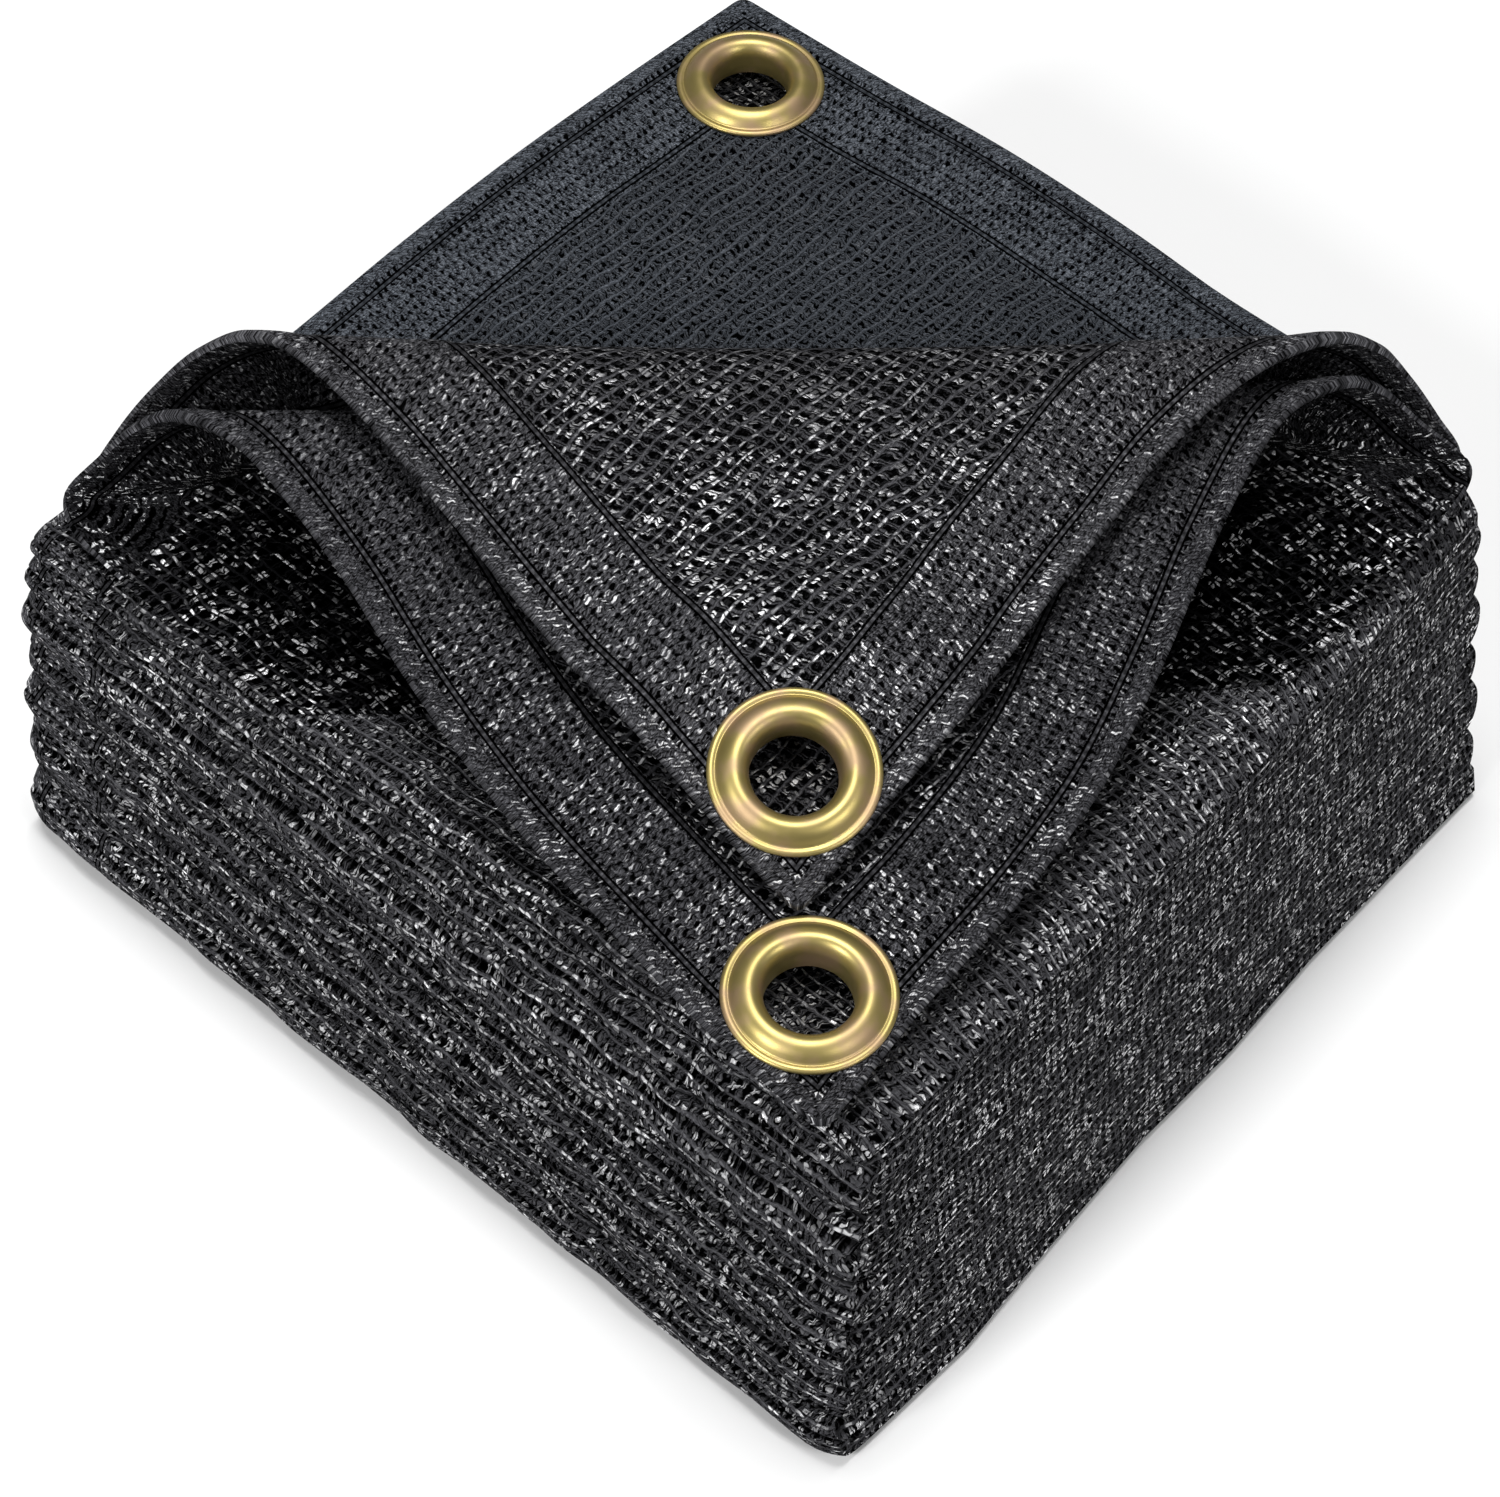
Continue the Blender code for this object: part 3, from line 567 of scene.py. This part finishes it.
# The corner that lies flat on the rear half of the pad. Its hems are folded over
# twice and sewn along both borders, and one eyelet sits where they meet. Each row
# across it has a left, a middle and a right point.
BACK_CORNER = [
    (-1.4, 131.8, 78.5, 0.4, 132.4, 78.5, 2.2, 131.8, 78.5),
    (-25.0, 110.8, 78.6, 0.4, 110.0, 78.6, 26.0, 109.6, 78.6),
    (-46.5, 90.8, 78.6, 0.6, 89.5, 79.0, 48.0, 90.0, 78.6),
    (-66.0, 71.0, 78.6, 0.8, 70.0, 79.4, 67.5, 70.0, 78.6),
    (-85.1, 50.5, 78.4, 0.6, 49.0, 79.4, 84.0, 51.5, 78.4),
    (-102.0, 33.5, 78.0, 0.4, 30.0, 79.0, 99.0, 36.0, 78.0),
    (-115.0, 19.5, 77.6, 0.2, 12.0, 78.6, 111.0, 22.0, 77.8),
    (-112.0, 5.0, 77.6, 0.0, -6.0, 78.6, 107.0, 5.0, 77.8),
]
# middle of the eyelet and the tilt of its seat in degrees
BACK_SEAT = (0.4, 109.6, 78.6, 0.0)


def through_rows(rows, total):
    """Smooth curve through the rows, resampled to an even spacing of the middle column."""
    table = np.array(rows, dtype=float)
    padded = np.vstack([2.0 * table[0] - table[1], table, 2.0 * table[-1] - table[-2]])
    curve = []
    for k in range(len(table) - 1):
        before, start, end, after = padded[k:k + 4]
        for t in np.linspace(0.0, 1.0, 24, endpoint=False):
            curve.append(0.5 * (2.0 * start + (end - before) * t
                                + (2.0 * before - 5.0 * start + 4.0 * end - after) * t ** 2
                                + (3.0 * start - before - 3.0 * end + after) * t ** 3))
    curve.append(table[-1])
    curve = np.array(curve)
    steps = np.linalg.norm(np.diff(curve[:, 3:6], axis=0), axis=1)
    steps += 0.6 * np.linalg.norm(np.diff(curve[:, 0:3], axis=0), axis=1)
    run = np.concatenate([[0.0], np.cumsum(steps)])
    even = np.linspace(0.0, run[-1], total)
    return np.array([np.interp(even, run, curve[:, c]) for c in range(curve.shape[1])]).T


def to_line(points, line, run):
    """Distance of points from a polyline and how far along it the nearest spot lies."""
    best = np.full(len(points), 1e9)
    where = np.zeros(len(points))
    for start, end in zip(line[:-1], line[1:]):
        step = end - start
        length = float(np.linalg.norm(step))
        if length < 1e-6:
            continue
        t = np.clip(((points - start) @ step) / length ** 2, 0.0, 1.0)
        off = np.linalg.norm(points - start - t[:, None] * step, axis=1)
        nearer = off < best
        best[nearer] = off[nearer]
        where[nearer] = run + t[nearer] * length
        run += length
    return best, where


def corner_sheet(name, rows, seat, level, grain, material, total=190, columns=180):
    """Hemmed corner of the sheet: two faces a ply apart, a round rim and the eyelet's hole."""
    curve = through_rows(rows, total)
    a = np.linspace(-1.0, 1.0, columns + 1)
    a = a * (1.0 + 0.12 * (1.0 - a * a))
    left, middle, right = curve[:, None, 0:3], curve[:, None, 3:6], curve[:, None, 6:9]
    w = a[None, :, None]
    grid = left * w * (w - 1.0) / 2.0 + middle * (1.0 - w * w) + right * w * (w + 1.0) / 2.0
    reach = np.hypot(grid[..., 0] - seat[0], grid[..., 1] - seat[1])
    weight = np.clip((42.0 - reach) / 18.0, 0.0, 1.0)
    weight = weight * weight * (3.0 - 2.0 * weight)
    flat_z = seat[2] + math.tan(math.radians(seat[3])) * (grid[..., 1] - seat[1])
    bend_in = grid[..., 2] > flat_z - 12.0
    grid[..., 2] += np.where(bend_in, (flat_z - grid[..., 2]) * weight, 0.0)
    grid[..., 0] += SHIFT_X
    grid[..., 1] += SHIFT_Y
    thinning = np.clip((np.arange(total) / total - 0.90) / 0.10, 0.0, 1.0) * (1.0 if level == 2 else 0.0)
    for i in range(total):
        for k in range(columns + 1):
            x, y, z = grid[i, k]
            share = min(max((y - SHIFT_Y + 22.0) / 16.0, 0.0), 1.0)
            thin = thinning[i]
            rest = pad_top(x, y) + 1.35 - 1.05 * thin + level * share * 2.3
            if z < rest + 1.0:
                grid[i, k, 2] = max(z, rest)
            grid[i, k, 2] += (rest - grid[i, k, 2]) * thin
    down = np.gradient(grid, axis=0)
    side = np.gradient(grid, axis=1)
    normal = np.cross(side, down)
    normal /= np.maximum(np.linalg.norm(normal, axis=2, keepdims=True), 1e-9)
    if normal[total // 4, columns // 2, 2] < 0.0:
        normal = -normal
    run = np.concatenate([[0.0], np.cumsum(np.linalg.norm(np.diff(grid[:, columns // 2], axis=0), axis=1))])
    widths = np.cumsum(np.linalg.norm(np.diff(grid, axis=1), axis=2), axis=1)
    lateral = np.concatenate([np.zeros((total, 1)), widths], axis=1)
    lateral -= lateral[:, columns // 2:columns // 2 + 1]
    flat = np.stack([lateral, np.repeat(run[:, None], columns + 1, axis=1)], axis=2)
    widest = int(np.argmax(np.linalg.norm(grid[:, -1] - grid[:, 0], axis=1)))
    distances = []
    for edge_column in (0, columns):
        line = grid[:widest + 1, edge_column]
        onward = (line[-1] - line[-6]) / np.linalg.norm(line[-1] - line[-6])
        line = np.vstack([line, line[-1] + onward * 60.0])
        run_on = np.concatenate([[0.0], np.cumsum(np.linalg.norm(np.diff(line, axis=0), axis=1))])
        off = np.zeros((total, columns + 1))
        where = np.zeros((total, columns + 1))
        for i in range(total):
            back = 45 if i < widest - 12 else max(45 - 4 * (i - widest + 12), 2)
            near = slice(max(min(i, widest) - back, 0), min(i + 46, len(line)))
            off[i], where[i] = to_line(grid[i], line[near], run_on[near.start])
        distances.append((off, where))
    nearest = np.minimum(distances[0][0], distances[1][0])
    # painted shade on the inner corner's root, where it lies on the pad's top, as on the pad's top itself
    root_painted_shade = np.zeros((total, columns + 1))
    if level == 2:
        beyond = grid[..., 1] - SHIFT_Y - FRONT_Y
        across = grid[..., 0] - SHIFT_X - FRONT_X
        for i in range(widest, total):
            for k in range(columns + 1):
                on_root = min((i - widest) / 6.0, 1.0) * min(max((nearest[i, k] - 20.0) / 4.0, 0.0), 1.0)
                p = (beyond[i, k] - across[i, k]) * DIAGONAL
                q = (beyond[i, k] + across[i, k]) * DIAGONAL
                root_painted_shade[i, k] = painted_top_shade(p, q) * on_root
    thick = np.where(nearest < HEM - 0.1, 1.9, 1.3)
    thick = thick + 0.5 * np.exp(-((nearest - 1.6) / 1.5) ** 2)
    thick = thick - 0.35 * np.exp(-((nearest - OUTER_SEAM) / 0.9) ** 2)
    thick = thick + 0.25 * np.exp(-((nearest - 19.0) / 1.2) ** 2)
    thick = (thick * (1.0 - 0.75 * thinning[:, None]))[..., None]
    upper = grid + normal * thick / 2.0
    lower = grid - normal * thick / 2.0
    width = columns + 1
    points = [tuple(p) for p in upper.reshape(-1, 3)] + [tuple(p) for p in lower.reshape(-1, 3)]
    offset = total * width
    faces, panel_maps, hem_maps = [], [], []
    turn = math.radians(grain)
    cos_t, sin_t = math.cos(turn), math.sin(turn)
    panel_at = np.stack([flat[..., 0] * cos_t + flat[..., 1] * sin_t,
                         flat[..., 1] * cos_t - flat[..., 0] * sin_t], axis=2)
    kept = {}
    centre = np.array([seat[0] + SHIFT_X, seat[1] + SHIFT_Y])

    def maps_of(cells, below=0.0):
        mean = [sum(distances[s][0][c] for c in cells) for s in (0, 1)]
        s = 0 if mean[0] <= mean[1] else 1
        panel_maps.append([tuple(panel_at[c]) for c in cells])
        hem_maps.append([(distances[s][0][c] + root_painted_shade[c], distances[s][1][c] + below) for c in cells])

    for i in range(total - 1):
        for k in range(columns):
            cells = [(i, k), (i, k + 1), (i + 1, k + 1), (i + 1, k)]
            middle_spot = sum(grid[c] for c in cells) / 4.0
            if math.hypot(middle_spot[0] - centre[0], middle_spot[1] - centre[1]) < 9.0 \
                    and abs(middle_spot[2] - seat[2]) < 8.0:
                continue
            kept[(i, k)] = True
            ids = [r * width + c for r, c in cells]
            faces.append(ids)
            maps_of(cells)
            # the underside takes the underside code in its run, which paints shade on it
            faces.append([n + offset for n in ids[::-1]])
            maps_of(cells[::-1], UNDERSIDE_SHADE)
    borders = []
    for i, k in kept:
        for (di, dk), (first, second) in (((-1, 0), ((i, k), (i, k + 1))), ((1, 0), ((i + 1, k + 1), (i + 1, k))),
                                          ((0, -1), ((i + 1, k), (i, k))), ((0, 1), ((i, k + 1), (i + 1, k + 1)))):
            if (i + di, k + dk) not in kept:
                borders.append((first, second))
    rim = {}
    for first, second in borders:
        for cell in (first, second):
            if cell not in rim:
                inside = (min(max(cell[0], 3), total - 4), min(max(cell[1], 3), columns - 3))
                outward = grid[cell] - grid[inside]
                length = np.linalg.norm(outward)
                push = outward / length * 0.6 if length > 1e-6 else np.zeros(3)
                points.append(tuple(grid[cell] + push))
                rim[cell] = len(points) - 1
        a1, b1 = (c[0] * width + c[1] for c in (first, second))
        faces.append([b1, a1, rim[first], rim[second]])
        maps_of([second, first, first, second])
        faces.append([rim[second], rim[first], a1 + offset, b1 + offset])
        maps_of([second, first, first, second])
    thing = mesh_object(name, points, faces, material)
    add_map(thing, "panel", panel_maps)
    add_map(thing, "hem", hem_maps)
    return thing


back_cloth = cloth_material("back_knit", (0.066, 0.073, 0.085), 0.03, 1.67, 0.0, 0.8, 1e6, 0.0004)
back = corner_sheet("corner_flat", BACK_CORNER, BACK_SEAT, 0, -45.0, back_cloth)
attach(back, "root")
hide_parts("corner_back")


# The outer turned corner: it leaves the pad along the back, rolls over and comes
# forward, so its hems stand as tall arches on both sides.
UPPER_CORNER = [
    (-7.4, -88.4, 95.8, -5.6, -89.1, 95.6, -3.8, -88.4, 95.8),
    (-17.0, -76.5, 99.8, -5.0, -75.5, 100.7, 6.5, -76.5, 99.8),
    (-32.2, -57.4, 104.4, -4.5, -56.5, 106.0, 22.5, -59.5, 104.2),
    (-46.0, -37.6, 107.4, -4.0, -37.5, 109.6, 36.2, -41.0, 107.0),
    (-58.0, -19.4, 109.8, -3.5, -20.0, 111.8, 49.5, -24.5, 109.4),
    (-70.0, -1.6, 111.8, -3.0, -4.0, 113.0, 62.0, -9.5, 111.8),
    (-82.9, 13.6, 113.6, -2.0, 6.5, 113.2, 77.5, 3.6, 113.8),
    (-91.6, 19.2, 112.6, -2.0, 13.6, 110.8, 92.0, 12.0, 112.4),
    (-100.2, 21.0, 106.6, -2.0, 17.4, 105.4, 101.8, 15.0, 106.0),
    (-107.4, 20.6, 99.2, -2.0, 18.8, 98.6, 108.0, 15.6, 98.0),
    (-114.4, 18.0, 91.0, -2.0, 17.6, 92.0, 114.0, 13.6, 89.6),
    (-119.6, 13.6, 83.4, -2.0, 12.6, 87.0, 118.4, 10.0, 83.4),
    (-116.0, 6.0, 82.0, -2.0, 3.0, 85.0, 114.0, 2.5, 82.0),
]
UPPER_SEAT = (-5.0, -68.6, 103.2, 19.0)
turned_cloth = cloth_material("turned_knit", (0.068, 0.068, 0.074), 1.0, 2.4, 0.22, 0.35, 120.0, 0.0006)
upper = corner_sheet("corner_outer", UPPER_CORNER, UPPER_SEAT, 1, 45.0, turned_cloth)
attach(upper, "root")
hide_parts("corner_upper")


# The inner turned corner, nested in the outer one. Its root lies on the pad's top
# and runs out towards the front.
LOWER_CORNER = [
    (-6.2, -124.4, 89.9, -4.4, -125.0, 89.9, -2.6, -124.4, 89.9),
    (-21.5, -107.0, 91.2, -5.0, -107.0, 91.5, 10.5, -108.0, 91.2),
    (-37.7, -85.5, 92.4, -5.0, -86.0, 93.4, 29.0, -87.5, 92.4),
    (-51.6, -66.0, 94.0, -4.0, -66.0, 95.2, 45.0, -66.5, 94.2),
    (-65.3, -43.2, 97.0, -4.0, -43.5, 98.2, 57.5, -44.0, 97.2),
    (-77.4, -20.4, 100.5, -3.0, -21.0, 101.4, 69.0, -21.0, 101.2),
    (-91.4, 0.2, 104.0, -3.0, -2.0, 104.2, 81.5, -1.0, 105.0),
    (-102.7, 9.2, 103.8, -2.0, 7.0, 103.4, 93.6, 8.0, 105.0),
    (-110.5, 12.2, 98.6, -2.0, 11.2, 99.0, 102.0, 11.2, 100.0),
    (-117.6, 11.6, 91.2, -2.0, 11.6, 93.2, 110.0, 10.6, 92.0),
    (-124.0, 8.2, 84.4, -2.0, 7.6, 88.4, 119.0, 6.2, 84.8),
    (-119.0, -4.0, 83.0, -2.0, -5.0, 85.6, 114.0, -5.0, 83.2),
    (-101.0, -22.0, 82.0, -2.0, -24.0, 84.0, 96.0, -23.0, 82.0),
    (-86.0, -37.0, 82.0, -2.0, -40.0, 83.0, 81.0, -38.0, 82.0),
]
LOWER_SEAT = (-4.7, -103.3, 91.7, 4.0)
# darker tint and fewer painted highlights than the outer corner: painted shade from the outer corner over it
shaded_cloth = cloth_material("inner_knit_painted_shade", (0.052, 0.052, 0.057), 0.9, 2.4, 0.22, 0.35, 120.0, 0.0006)
lower = corner_sheet("corner_inner", LOWER_CORNER, LOWER_SEAT, 2, 45.0, shaded_cloth)
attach(lower, "root")
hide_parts("corner_lower")


# The eyelets: a pressed brass grommet with a domed flange and a thin flat rim,
# and the washer below the cloth that its barrel is rolled over.
# sections as (radius, height) from the middle of the cloth
GROMMET = [
    (14.0, 1.10), (14.05, 1.35), (13.9, 1.62), (13.5, 1.78), (13.1, 1.80), (12.85, 1.66), (12.7, 1.66),
    (12.4, 1.95), (12.0, 2.42), (11.4, 2.92), (10.7, 3.32), (10.0, 3.54), (9.4, 3.58), (8.8, 3.42),
    (8.2, 3.02), (7.7, 2.40), (7.4, 1.70), (7.25, 0.9), (7.25, -1.0), (7.25, -2.8), (7.45, -3.15),
    (7.85, -3.30), (8.6, -3.30), (9.2, -3.22),
    (9.55, -2.95), (9.6, -2.7), (9.2, -2.40), (8.0, -2.40), (8.0, 0.0), (8.0, 1.10),
]
WASHER = [(8.3, -2.10), (8.3, -1.10), (13.2, -1.10), (13.2, -1.60), (12.4, -2.10)]
brass = bpy.data.materials.new("eyelet_metal")
brass.use_nodes = True
metal = brass.node_tree
metal_shader = metal.nodes["Principled BSDF"]
metal_shader.inputs["Metallic"].default_value = 0.85
spot = metal.nodes.new("ShaderNodeTexCoord")
tarnish = metal.nodes.new("ShaderNodeTexNoise")
tarnish.inputs["Scale"].default_value = 160.0
tarnish.inputs["Detail"].default_value = 5.0
metal.links.new(spot.outputs["Object"], tarnish.inputs["Vector"])
stain = ramp(tarnish.outputs["Fac"], 0.42, 0.66, tree=metal)
stained = blend_colours(stain, (0.39, 0.31, 0.11), (0.38, 0.265, 0.15), tree=metal)
metal.links.new(stained, metal_shader.inputs["Base Color"])
metal.links.new(ramp(tarnish.outputs["Fac"], 0.35, 0.7, 0.38, 0.52, tree=metal), metal_shader.inputs["Roughness"])


def turned_ring(name, profile, seat, material, steps=96):
    """Turned ring on an eyelet's seat, from a closed (radius, height) profile."""
    points, faces = [], []
    tilt = math.radians(seat[3])
    for radius, level in profile:
        for k in range(steps):
            t = 2.0 * math.pi * k / steps
            x, y = radius * math.cos(t), radius * math.sin(t)
            points.append((seat[0] + SHIFT_X + x,
                           seat[1] + SHIFT_Y + y * math.cos(tilt) - level * math.sin(tilt),
                           seat[2] + y * math.sin(tilt) + level * math.cos(tilt)))
    rings = len(profile)
    for r in range(rings):
        for k in range(steps):
            after = (k + 1) % steps
            here, there = r * steps, (r + 1) % rings * steps
            faces.append([here + k, here + after, there + after, there + k])
    thing = mesh_object(name, points, faces, material)
    thing.data.set_sharp_from_angle(angle=math.radians(50.0))
    return thing


for label, seat, ply, side, area, below in (("back", BACK_SEAT, back, 0.18, 0.0187, ["pad"]),
                                            ("upper", UPPER_SEAT, upper, 0.18, 0.0178, ["pad", "corner_inner"]),
                                            ("lower", LOWER_SEAT, lower, 0.22, 0.0280, ["pad"])):
    grommet = turned_ring("eyelet_" + label, GROMMET, seat, brass)
    washer = turned_ring("backing_" + label, WASHER[::-1], seat, brass)
    for thing, node in ((grommet, "grommet_" + label), (washer, "washer_" + label)):
        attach(thing, "root")
        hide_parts(node)


# The plain pale surface and soft studio light around the cloth.
floor_paint = bpy.data.materials.new("floor_paint")
floor_paint.use_nodes = True
floor_shader = floor_paint.node_tree.nodes["Principled BSDF"]
floor_shader.inputs["Base Color"].default_value = (0.83, 0.83, 0.83, 1.0)
floor_shader.inputs["Roughness"].default_value = 0.9
floor_points = [(x * 3000.0, y * 3000.0, -0.2) for x, y in ((-1, -1), (1, -1), (1, 1), (-1, 1))]
floor = mesh_object("floor", floor_points, [[0, 1, 2, 3]], floor_paint)
world = bpy.data.worlds.new("studio")
world.use_nodes = True
world.node_tree.nodes["Background"].inputs["Color"].default_value = (1.0, 1.0, 1.0, 1.0)
world.node_tree.nodes["Background"].inputs["Strength"].default_value = 0.12
bpy.context.scene.world = world
# name, place and size in metres, power in watts
LAMPS = [
    ("overhead", (-0.02, 0.27, 2.0), 0.9, 35.0),
    ("left", (-0.9, -0.75, 1.0), 0.35, 13.0),
    ("right", (0.8, -0.85, 1.0), 0.35, 7.0),
]
for name, spot_at, size, power in LAMPS:
    lamp = bpy.data.lights.new(name, "AREA")
    lamp.size = size
    lamp.energy = power
    holder = bpy.data.objects.new(name, lamp)
    holder.location = spot_at
    holder.rotation_euler = (-Vector(spot_at)).to_track_quat("-Z", "Y").to_euler()
    bpy.context.scene.collection.objects.link(holder)

# The camera, at the place and turn of the reference view.
camera = bpy.data.cameras.new("camera")
camera.sensor_width = 36.0
camera.lens = 95.86
camera.clip_start = 0.01
camera_right = Vector((0.99741245, -0.06488184, 0.03096372))
camera_up = Vector((0.03409655, 0.80610301, 0.59079214))
camera_ahead = Vector((0.06329163, 0.58820768, -0.80622943))
camera_at = Vector((-0.05188099 + SHIFT_X / 1000.0, -0.43680367 + SHIFT_Y / 1000.0, 0.61516162))
camera_object = bpy.data.objects.new("camera", camera)
turn = Matrix((camera_right, camera_up, -camera_ahead)).transposed().to_4x4()
camera_object.matrix_world = Matrix.Translation(camera_at) @ turn
bpy.context.scene.collection.objects.link(camera_object)
bpy.context.scene.camera = camera_object
bpy.context.scene.view_settings.view_transform = "Standard"
